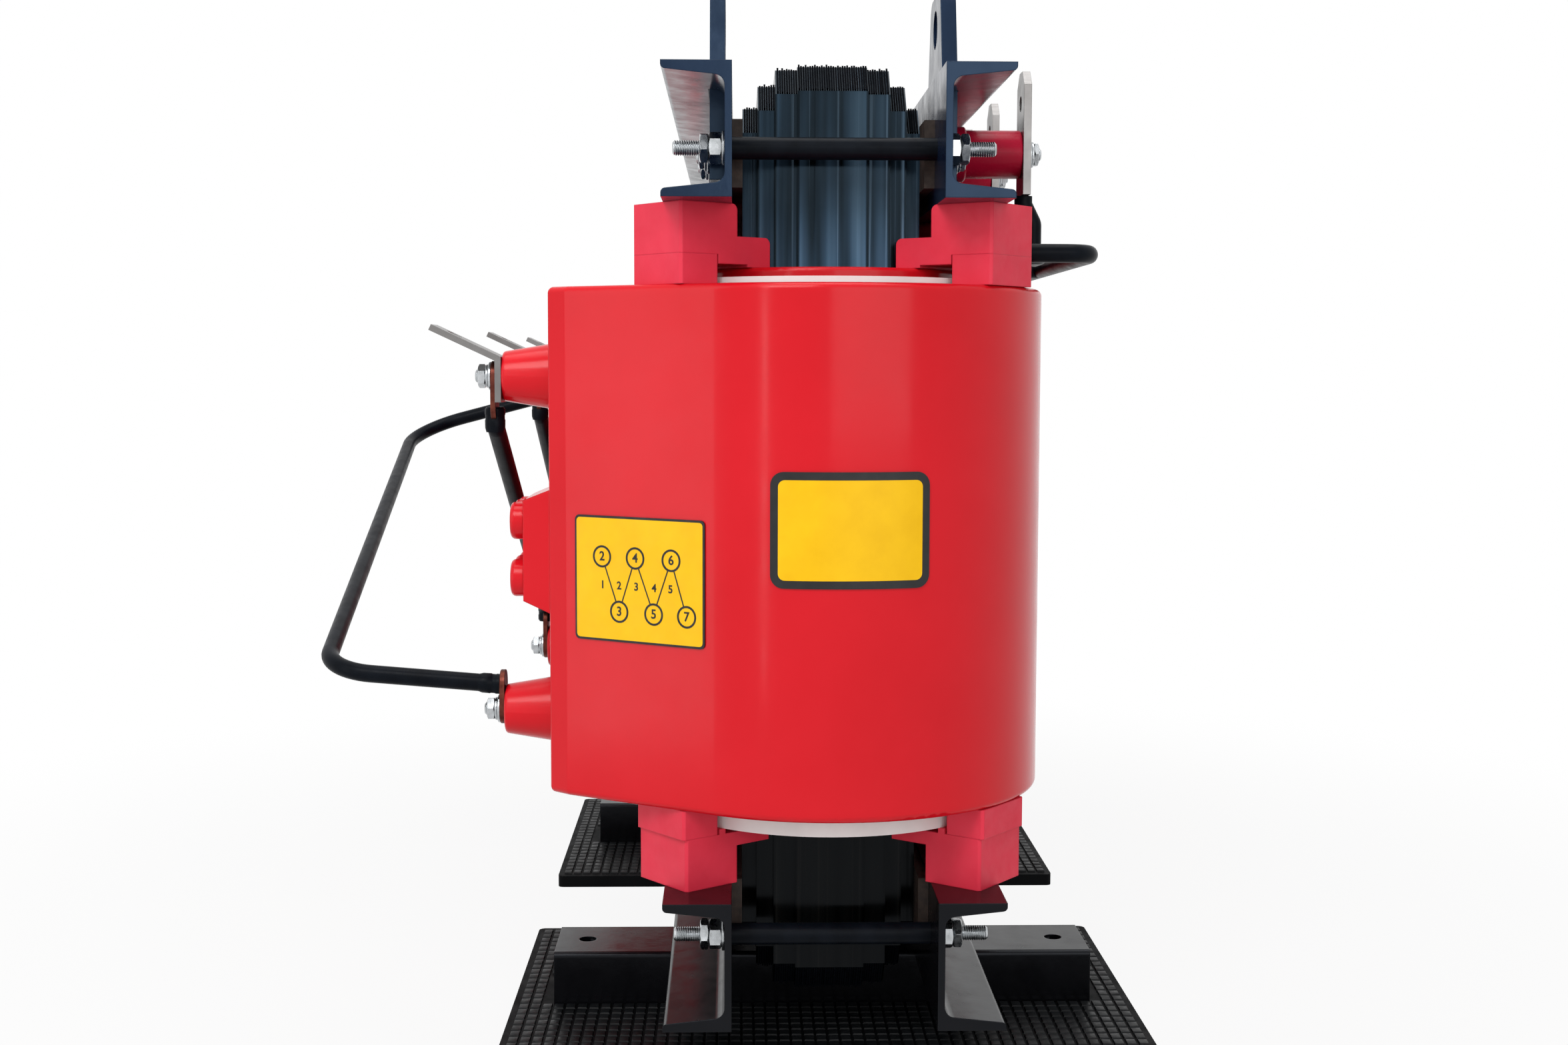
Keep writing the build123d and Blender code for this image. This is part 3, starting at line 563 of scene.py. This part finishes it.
def yellow_plate():
    """Yellow printed plate, slightly uneven."""
    finish = Finish("yellow_plate", Specular_IOR_Level=0.22)
    finish.colour(scale=40, detail=4, dark=(0.88, 0.49, 0.002), light=(0.95, 0.55, 0.004))
    finish.rough(scale=90, detail=3, low=0.3, high=0.42)
    finish.grain(scale=500, detail=2, distance=0.00006, strength=0.3)
    return finish.material


def black_print():
    """Black print and plate rims."""
    finish = Finish("black_print", Specular_IOR_Level=0.35)
    finish.colour(scale=80, detail=4, dark=(0.005, 0.005, 0.006), light=(0.012, 0.012, 0.013))
    finish.rough(scale=90, detail=3, low=0.35, high=0.5)
    finish.grain(scale=500, detail=2, distance=0.00006, strength=0.3)
    return finish.material


FINISHES = {
    make.__name__: make() for make in (
        red_resin, red_block, insulator_red, navy_steel, core_black, core_edge, board,
        white_sheet, zinc_steel, black_sleeve, bare_aluminium, rubber_mat, rubber_stud,
        copper, yellow_plate, black_print,
    )
}
# The post insulators take the crimson darkened with painted shade
NODE_FINISHES = {"lv_insulators": "insulator_red"}


def paint_nodes():
    """Gives every CAD node its own finish, or that of its material slot."""
    for entry in frame["record"]["subparts"]:
        node = nodes[entry["node"]]
        finish = NODE_FINISHES.get(entry["node"], entry["material_slot"])
        node.data.materials.clear()
        node.data.materials.append(FINISHES[finish])


def aim(place, axis):
    """Local frame at a point with its Z along an axis."""
    return Matrix.Translation(place) @ Vector(axis).to_track_quat("Z", "Y").to_matrix().to_4x4()


def lift(height):
    """Shift along the local Z axis."""
    return Matrix.Translation((0, 0, height))


def full_turn(steps):
    """Angles evenly spread over a full turn."""
    return [math.tau * i / steps for i in range(steps)]


def circle(radius, height, steps):
    """Points round the local Z axis."""
    return [(radius * math.cos(t), radius * math.sin(t), height) for t in full_turn(steps)]


def skin(bm, where, rows):
    """Closed skin over loops of points, each joined to the next."""
    loops = [[bm.verts.new(where @ Vector(point)) for point in row] for row in rows]
    for low, high in zip(loops, loops[1:]):
        for i, vertex in enumerate(low):
            j = (i + 1) % len(low)
            bm.faces.new((vertex, low[j], high[j], high[i]))
    bm.faces.new(loops[0][::-1])
    bm.faces.new(loops[-1])


def turned(bm, where, profile, steps=32):
    """Turned piece from (radius, height) pairs up the local Z axis."""
    skin(bm, where, [circle(radius, height, steps) for radius, height in profile])


def washer(bm, where, radius, thickness):
    """Flat washer with eased edges."""
    ease = thickness * WASHER_EASE
    inner = radius - ease
    turned(bm, where, ((inner, 0), (radius, ease), (radius, thickness - ease), (inner, thickness)))


def hexagon(bm, where, flat, height, steps=48):
    """Hexagon nut or head whose corners run out into turned chamfers."""
    face = flat / 2 * CHAMFER_SHARE
    turns = full_turn(steps)
    corners = [flat / 2 / math.cos((t + HEX_TURN / 2) % HEX_TURN - HEX_TURN / 2) for t in turns]
    falls = [(corner - face) * CHAMFER_SLOPE for corner in corners]

    def loop(radii, heights):
        return [(r * math.cos(t), r * math.sin(t), h) for t, r, h in zip(turns, radii, heights)]

    plain = [face] * steps
    skin(bm, where, (
        loop(plain, [0] * steps),
        loop(corners, falls),
        loop(corners, [height - fall for fall in falls]),
        loop(plain, [height] * steps),
    ))


def thread(bm, where, radius, length, pitch, steps=24, cuts=6):
    """Helical screw thread with a chamfered tip, from the local origin upward."""
    root = radius - THREAD_DEPTH * pitch
    count = int(length / pitch * cuts)
    rows = []
    for k in range(count + 1):
        height = length * k / count
        row = []
        for j, turn in enumerate(full_turn(steps)):
            ridge = abs(2 * ((height / pitch - j / steps) % 1) - 1)
            r = min(root + (radius - root) * ridge, root * THREAD_TIP + length - height)
            row.append((r * math.cos(turn), r * math.sin(turn), height))
        rows.append(row)
    skin(bm, where, rows)


def stadium(length, width, height, steps=24):
    """Points round a slot shape that lies along the local Y axis."""
    points = []
    for i in range(steps):
        turn = math.tau * (i + 0.5) / steps
        shift = length / 2 if math.sin(turn) > 0 else -length / 2
        points.append((width / 2 * math.cos(turn), width / 2 * math.sin(turn) + shift, height))
    return points


def add_piece(name, build, finish, replaced=()):
    """Turns a build function into a piece of the object with its finish."""
    mesh = bpy.data.meshes.new(name)
    bm = bmesh.new()
    build(bm)
    bmesh.ops.recalc_face_normals(bm, faces=bm.faces)
    bm.to_mesh(mesh)
    bm.free()
    mesh.shade_smooth()
    mesh.set_sharp_from_angle(angle=SHARP_ANGLE)
    mesh.materials.append(FINISHES[finish])
    piece = bpy.data.objects.new(name, mesh)
    scene.collection.objects.link(piece)
    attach(piece, "root")
    if replaced:
        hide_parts(*replaced)


def rod_end(bm, seat):
    """Washer, nut, lock nut and threaded end of a tie rod, from the face of the clamp."""
    washer(bm, seat, ROD_WASHER_R, ROD_WASHER_T)
    hexagon(bm, seat @ lift(ROD_WASHER_T), NUT_FLAT, NUT_HEIGHT)
    lock_turn = Matrix.Rotation(LOCK_NUT_TURN, 4, "Z")
    hexagon(bm, seat @ lift(LOCK_NUT_SEAT) @ lock_turn, NUT_FLAT, LOCK_NUT_HEIGHT)
    thread(bm, seat @ lift(ROD_THREAD_SEAT), ROD_R, ROD_REACH - ROD_THREAD_SEAT, ROD_PITCH)


def tie_rod_studs(bm):
    """Tie rods with washers, nuts, lock nuts and threaded ends."""
    half = CLAMP_OUT + ROD_CORE_REACH
    for x in (ROD_X, -ROD_X):
        for z in ROD_HEIGHTS:
            turned(bm, aim((x, -half, z), (0, 1, 0)), ((ROD_CORE_R, 0), (ROD_CORE_R, 2 * half)), 20)
            for side in (1, -1):
                rod_end(bm, aim((x, side * CLAMP_OUT, z), (0, side, 0)))


def bolt(bm, place, side, size, spin):
    """Hexagon bolt with a flat washer, a spring washer and a short threaded tail."""
    seat = aim(place, (0, side, 0))
    washer(bm, seat, size.washer_r, size.washer_t - FLAT_WASHER_CUT)
    stack = seat @ lift(size.washer_t - STACK_LAP)
    washer(bm, stack, size.washer_r * SPRING_SHARE, SPRING_T)
    head = stack @ lift(SPRING_T) @ Matrix.Rotation(spin, 4, "Z")
    head_height = size.height - SPRING_T - HEAD_CUT
    hexagon(bm, head, size.flat, head_height)
    thread(bm, head @ lift(head_height - TAIL_SINK), TAIL_R, TAIL_LENGTH, TAIL_PITCH)


def lug_bolt_set(bm):
    """Bolts through the lifting lugs."""
    for x in LUG_BOLTS_X + [-x for x in LUG_BOLTS_X]:
        for side in (1, -1):
            bolt(bm, (x, side * LUG_OUT, LUG_BOLT_Z), side, FRAME_BOLT, spin=0.2 + 3 * x)


def terminal_bolt_set(bm):
    """Bolts through the high-voltage terminals."""
    for x in PHASES.values():
        for z, seat_y in ((BOSS_TOP_Z, ARM_SEAT_Y), (BOSS_LOW_Z, BOSS_TIP_Y)):
            bolt(bm, (x, seat_y - PALM_THICKNESS, z), -1, TERMINAL_BOLT, spin=0.4 + z)


def bar_bolt_set(bm):
    """Bolts through the low-voltage bars."""
    for x in BARS_X:
        bolt(bm, (x, BAR_OUT, INSULATOR_Z), 1, FRAME_BOLT, spin=0.25 + x)


def link_ends():
    """Every link end: boss height, palm seat, place of the sleeve's end and the direction that it takes."""
    top_y = ARM_SEAT_Y - PALM_THICKNESS / 2
    low_y = BOSS_TIP_Y - PALM_THICKNESS / 2
    for phase in "ab":
        tip = (PHASES[phase], top_y, BOSS_TOP_Z - LINK_DROP)
        yield BOSS_TOP_Z, ARM_SEAT_Y, tip, (0, 0, -1)
    for phase in "bc":
        tip = (PHASES[phase], low_y, BOSS_LOW_Z + LINK_DROP)
        yield BOSS_LOW_Z, BOSS_TIP_Y, tip, (0, 0, 1)
    low = Vector((PHASES["a"], low_y, BOSS_LOW_Z + LOOP_DROP))
    yield BOSS_LOW_Z, BOSS_TIP_Y, low, Vector(LOOP_LOW) - low
    top = Vector((PHASES["c"], top_y, BOSS_TOP_Z - LOOP_DROP))
    yield BOSS_TOP_Z, ARM_SEAT_Y, top, Vector(LOOP_TOP) - top


def copper_lugs(bm):
    """Copper palms at the ends of the links."""
    width = PALM_WIDTH + PALM_GROW
    front = PALM_THICKNESS + PALM_GROW / 2
    for boss_z, seat_y, tip, _ in link_ends():
        drop = abs(tip[Z] - boss_z)
        skin(bm, aim((tip[X], seat_y, (tip[Z] + boss_z) / 2), (0, -1, 0)), (
            stadium(drop, width, PALM_BACK),
            stadium(drop, width, front - PALM_EASE),
            stadium(drop, width - 2 * PALM_EASE, front),
        ))


def sleeve_collars(bm):
    """Shrunk collars where the sleeves run onto their crimped lugs."""
    for _, _, tip, direction in link_ends():
        turned(bm, aim(tip, direction), COLLAR_PROFILE)


def sheet_edge(bm, y, side_x, side_z, yoke_z, half_width, out):
    """One sheet's edge that stands out of a cut corner of the core."""
    edge = PHASES["a"] + half_width
    rise = Vector((side_x, 0, side_z)).normalized() * out
    across = Vector((0, SHEET_PITCH * SHEET_HALF_SHARE, 0))
    loops = []
    for x, z in ((edge, half_width - CORE_CUT), (edge - CORE_CUT, half_width)):
        corner = Vector((side_x * x, y, yoke_z + side_z * z))
        foot = (corner - across, corner + across)
        loops.append((*foot, foot[1] + rise, foot[0] + rise))
    skin(bm, Matrix(), loops)


def lamination_edges(bm):
    """Uneven sheet edges along the cut corners of the core."""
    rng = random.Random(SHEET_SEED)
    inner = 0.0
    for half_width, half_stack in zip(PACKET_HALF_WIDTHS, PACKET_HALF_STACKS):
        for i in range(int((half_stack - inner) / SHEET_PITCH)):
            place = inner + (i + 0.5) * SHEET_PITCH
            for y, side_x, (side_z, yoke_z) in product((place, -place), (1, -1), YOKE_HEIGHTS.items()):
                sheet_edge(bm, y, side_x, side_z, yoke_z, half_width, rng.uniform(*SHEET_OUT))
        inner = half_stack


def mat_stud(bm, place, lean_x, lean_y):
    """One raised stud with eased sides and a slightly leaning top."""
    loops = []
    for share, height in STUD_PROFILE:
        dx, dy = STUD_SIZE_X / 2 * share, STUD_SIZE_Y / 2 * share
        part = max(height, 0) / STUD_RISE
        corners = ((-dx, -dy), (dx, -dy), (dx, dy), (-dx, dy))
        loops.append([(u, v, height + part * (lean_x * u + lean_y * v)) for u, v in corners])
    skin(bm, Matrix.Translation(place), loops)


def row_places(low, high, step):
    """Middles of the studs that fit between two edges of a mat."""
    count = int((high - low - STUD_BORDER) / step)
    return [(low + high) / 2 + (i - (count - 1) / 2) * step for i in range(count)]


def clear_of(place, size, low, high):
    """Whether a stud stands wholly beside a stretch, with a margin."""
    reach = size / 2 + STUD_MARGIN
    return place + reach < low or place - reach > high


def stud_mat(place):
    """Raised studs over the top of one rubber mat, left out under the base channel."""
    low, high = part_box(f"{place}_rubber_mat")
    beam_low, beam_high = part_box(f"{place}_base_channel")
    rng = random.Random(STUD_SEED)

    def build(bm):
        for x in row_places(low[X], high[X], STUD_STEP_X):
            beside = clear_of(x, STUD_SIZE_X, beam_low[X], beam_high[X])
            for y in row_places(low[Y], high[Y], STUD_STEP_Y):
                if beside or clear_of(y, STUD_SIZE_Y, beam_low[Y], beam_high[Y]):
                    lean_x = rng.uniform(-STUD_LEAN_X, STUD_LEAN_X)
                    lean_y = rng.uniform(-STUD_LEAN_Y, STUD_LEAN_Y)
                    mat_stud(bm, (x, y, high[Z]), lean_x, lean_y)
    return build


def plate(warp, size, columns=48):
    """Plate with rounded corners between two heights above a surface that warp maps onto."""
    def build(bm):
        strips = []
        for i in range(columns + 1):
            u = size.width / 2 * math.sin(math.pi / 2 * (2 * i / columns - 1))
            past = max(abs(u) - (size.width / 2 - size.corner), 0)
            v = size.height / 2 - size.corner + math.sqrt(max(size.corner ** 2 - past ** 2, 0))
            section = ((-v, size.low), (v, size.low), (v, size.high), (-v, size.high))
            strips.append([warp(u, side, height) for side, height in section])
        skin(bm, Matrix(), strips)
    return build


def on_slant(along, z):
    """Maps plate coordinates onto the slanted side of the nearest coil."""
    u_axis = Vector((math.sin(COIL_TANGENT), math.cos(COIL_TANGENT), 0))
    v_axis = Vector((0, 0, 1))
    out = u_axis.cross(v_axis)
    centre = Vector((PHASES["a"] + COIL_CORNER_HALF, COIL_CORNER_Y, z)) + u_axis * along
    return lambda u, v, h: centre + u_axis * u + v_axis * v + out * h


def on_round(angle, z):
    """Maps plate coordinates onto the round front of the nearest coil."""
    def warp(u, v, h):
        turn = angle + u / COIL_R
        radius = COIL_R + h
        return Vector((PHASES["a"] + radius * math.cos(turn), radius * math.sin(turn), z + v))
    return warp


def numeral(bm, warp, text, size, u, v):
    """Numeral centred at a point of a plate."""
    data = bpy.data.curves.new("numeral", "FONT")
    data.body = text
    data.size = size
    data.align_x = "CENTER"
    data.align_y = "CENTER"
    data.extrude = (MARK_HIGH - MARK_LOW) / 2
    data.offset = NUMERAL_BOLD
    letter = bpy.data.objects.new("numeral", data)
    scene.collection.objects.link(letter)
    bpy.context.view_layer.update()
    solid = bpy.data.meshes.new_from_object(letter.evaluated_get(bpy.context.evaluated_depsgraph_get()))
    shape = bmesh.new()
    shape.from_mesh(solid)
    bmesh.ops.remove_doubles(shape, verts=shape.verts, dist=MERGE_DISTANCE)
    for vertex in shape.verts:
        vertex.co = warp(u + vertex.co.x, v + vertex.co.y, (MARK_LOW + MARK_HIGH) / 2 + vertex.co.z)
    shape.to_mesh(solid)
    shape.free()
    bm.from_mesh(solid)
    bpy.data.objects.remove(letter)
    bpy.data.curves.remove(data)
    bpy.data.meshes.remove(solid)


def ring_mark(bm, warp, u, v, steps=40):
    """Printed ring on a plate."""
    inner, outer = RING_R - RING_WIDTH / 2, RING_R + RING_WIDTH / 2
    turns = full_turn(steps)
    loops = []
    for r, h in ((inner, MARK_LOW), (outer, MARK_LOW), (outer, MARK_HIGH), (inner, MARK_HIGH)):
        loops.append([bm.verts.new(warp(u + r * math.cos(t), v + r * math.sin(t), h)) for t in turns])
    for near, far in zip(loops, loops[1:] + loops[:1]):
        for i in range(steps):
            j = (i + 1) % steps
            bm.faces.new((near[i], near[j], far[j], far[i]))


def line_mark(bm, warp, start, end):
    """Printed line on a plate."""
    run = end - start
    side = Vector((-run.y, run.x)).normalized() * LINE_WIDTH / 2
    corners = (start - side, end - side, end + side, start + side)
    skin(bm, Matrix(), [[warp(c.x, c.y, h) for c in corners] for h in (MARK_LOW, MARK_HIGH)])


def tap_marks(warp):
    """Diagram of the tap positions: two rows of numbered rings and the lines between them."""
    def build(bm):
        top = [Vector((u, TOP_RINGS_V)) for u in TOP_RINGS_U]
        low = [Vector((u, LOW_RINGS_V)) for u in LOW_RINGS_U]
        rings = [ring for pair in zip(top, low) for ring in pair]
        for number, ring in enumerate(rings, 2):
            ring_mark(bm, warp, ring.x, ring.y)
            numeral(bm, warp, str(number), RING_NUMERAL, ring.x, ring.y)
        for number, (start, end) in enumerate(zip(rings, rings[1:]), 1):
            run = (end - start).normalized() * (RING_R + LINE_GAP)
            line_mark(bm, warp, start + run, end - run)
            spot = (start + end) / 2 + LINE_NUMERAL_SHIFT
            numeral(bm, warp, str(number), LINE_NUMERAL, spot.x, spot.y)
    return build


def add_details():
    """Adds every fine piece to the object."""
    add_piece("tie_rod_studs", tie_rod_studs, "zinc_steel", ("tie_rods",))
    add_piece("lug_bolt_set", lug_bolt_set, "zinc_steel", ("lug_bolts",))
    add_piece("terminal_bolt_set", terminal_bolt_set, "zinc_steel", ("hv_terminal_bolts",))
    add_piece("bar_bolt_set", bar_bolt_set, "zinc_steel", ("lv_bolts",))
    add_piece("copper_lugs", copper_lugs, "copper")
    add_piece("sleeve_collars", sleeve_collars, "black_sleeve")
    add_piece("lamination_edges", lamination_edges, "core_edge")
    add_piece("front_mat_studs", stud_mat("front"), "rubber_stud")
    add_piece("rear_mat_studs", stud_mat("rear"), "rubber_stud")
    slant = on_slant(TAP_PLATE_ALONG, TAP_PLATE_Z)
    add_piece("tap_plate_rim", plate(slant, TAP_RIM), "black_print")
    add_piece("tap_plate", plate(slant, TAP_FACE), "yellow_plate")
    add_piece("tap_plate_marks", tap_marks(slant), "black_print")
    front = on_round(BLANK_PLATE_TURN, BLANK_PLATE_Z)
    add_piece("blank_plate_rim", plate(front, BLANK_RIM), "black_print")
    add_piece("blank_plate", plate(front, BLANK_FACE), "yellow_plate")


def seen_directly(tree):
    """One for rays that the camera sees straight, mirrored or through glass."""
    path = tree.nodes.new("ShaderNodeLightPath")
    seen = path.outputs["Is Camera Ray"]
    for name in ("Is Glossy Ray", "Is Transmission Ray"):
        either = tree.nodes.new("ShaderNodeMath")
        either.operation = "MAXIMUM"
        tree.links.new(seen, either.inputs[0])
        tree.links.new(path.outputs[name], either.inputs[1])
        seen = either.outputs["Value"]
    return seen


def floor_glow(tree):
    """How far the floor glows white to the camera: less near the object, so that its shadow shows."""
    place = tree.nodes.new("ShaderNodeTexCoord")
    distance = tree.nodes.new("ShaderNodeVectorMath")
    distance.operation = "LENGTH"
    tree.links.new(place.outputs["Object"], distance.inputs[0])
    fade = tree.nodes.new("ShaderNodeMapRange")
    fade.interpolation_type = "SMOOTHSTEP"
    fade.inputs["From Min"].default_value = FLOOR_NEAR
    fade.inputs["From Max"].default_value = FLOOR_FAR
    fade.inputs["To Min"].default_value = FLOOR_NEAR_GLOW
    fade.inputs["To Max"].default_value = 1.0
    tree.links.new(distance.outputs["Value"], fade.inputs["Value"])
    glow = tree.nodes.new("ShaderNodeMath")
    glow.operation = "MULTIPLY"
    tree.links.new(seen_directly(tree), glow.inputs[0])
    tree.links.new(fade.outputs["Result"], glow.inputs[1])
    return glow.outputs["Value"]


def floor_finish():
    """Matt pale floor mixed with a white glow."""
    material = bpy.data.materials.new("floor")
    material.use_nodes = True
    tree = material.node_tree
    shader = tree.nodes["Principled BSDF"]
    shader.inputs["Base Color"].default_value = FLOOR_COLOUR
    shader.inputs["Roughness"].default_value = FLOOR_ROUGHNESS
    shader.inputs["Specular IOR Level"].default_value = 0.0
    white = tree.nodes.new("ShaderNodeEmission")
    white.inputs["Color"].default_value = WHITE
    mix = tree.nodes.new("ShaderNodeMixShader")
    tree.links.new(floor_glow(tree), mix.inputs["Fac"])
    tree.links.new(shader.outputs["BSDF"], mix.inputs[1])
    tree.links.new(white.outputs["Emission"], mix.inputs[2])
    tree.links.new(mix.outputs["Shader"], tree.nodes["Material Output"].inputs["Surface"])
    return material


def add_floor():
    """Pale floor that runs out of sight, white to the camera but for the object's shadow."""
    mesh = bpy.data.meshes.new("floor")
    corners = [(x * FLOOR_REACH, y * FLOOR_REACH, 0) for x, y in ((-1, -1), (1, -1), (1, 1), (-1, 1))]
    mesh.from_pydata(corners, [], [(0, 1, 2, 3)])
    floor = bpy.data.objects.new("floor", mesh)
    scene.collection.objects.link(floor)
    mesh.materials.append(floor_finish())


def add_lamp(lamp):
    """Soft rectangular lamp aimed at a point."""
    data = bpy.data.lights.new(lamp.name, "AREA")
    data.shape = "RECTANGLE"
    data.size, data.size_y = lamp.size
    data.energy = lamp.power
    light = bpy.data.objects.new(lamp.name, data)
    light.location = lamp.place
    light.rotation_euler = (Vector(lamp.target) - Vector(lamp.place)).to_track_quat("-Z", "Y").to_euler()
    light.visible_camera = False
    scene.collection.objects.link(light)


def add_light():
    """White surroundings and soft lamps."""
    world = bpy.data.worlds.new("studio")
    scene.world = world
    world.use_nodes = True
    tree = world.node_tree
    background = tree.nodes["Background"]
    background.inputs["Color"].default_value = WHITE
    strength = tree.nodes.new("ShaderNodeMapRange")
    strength.inputs["To Min"].default_value = WORLD_FILL
    strength.inputs["To Max"].default_value = 1.0
    tree.links.new(seen_directly(tree), strength.inputs["Value"])
    tree.links.new(strength.outputs["Result"], background.inputs["Strength"])
    for lamp in LAMPS:
        add_lamp(lamp)


def main():
    """Builds the scene."""
    add_camera()
    paint_nodes()
    add_details()
    add_floor()
    add_light()
    scene.view_settings.view_transform = "Standard"


main()
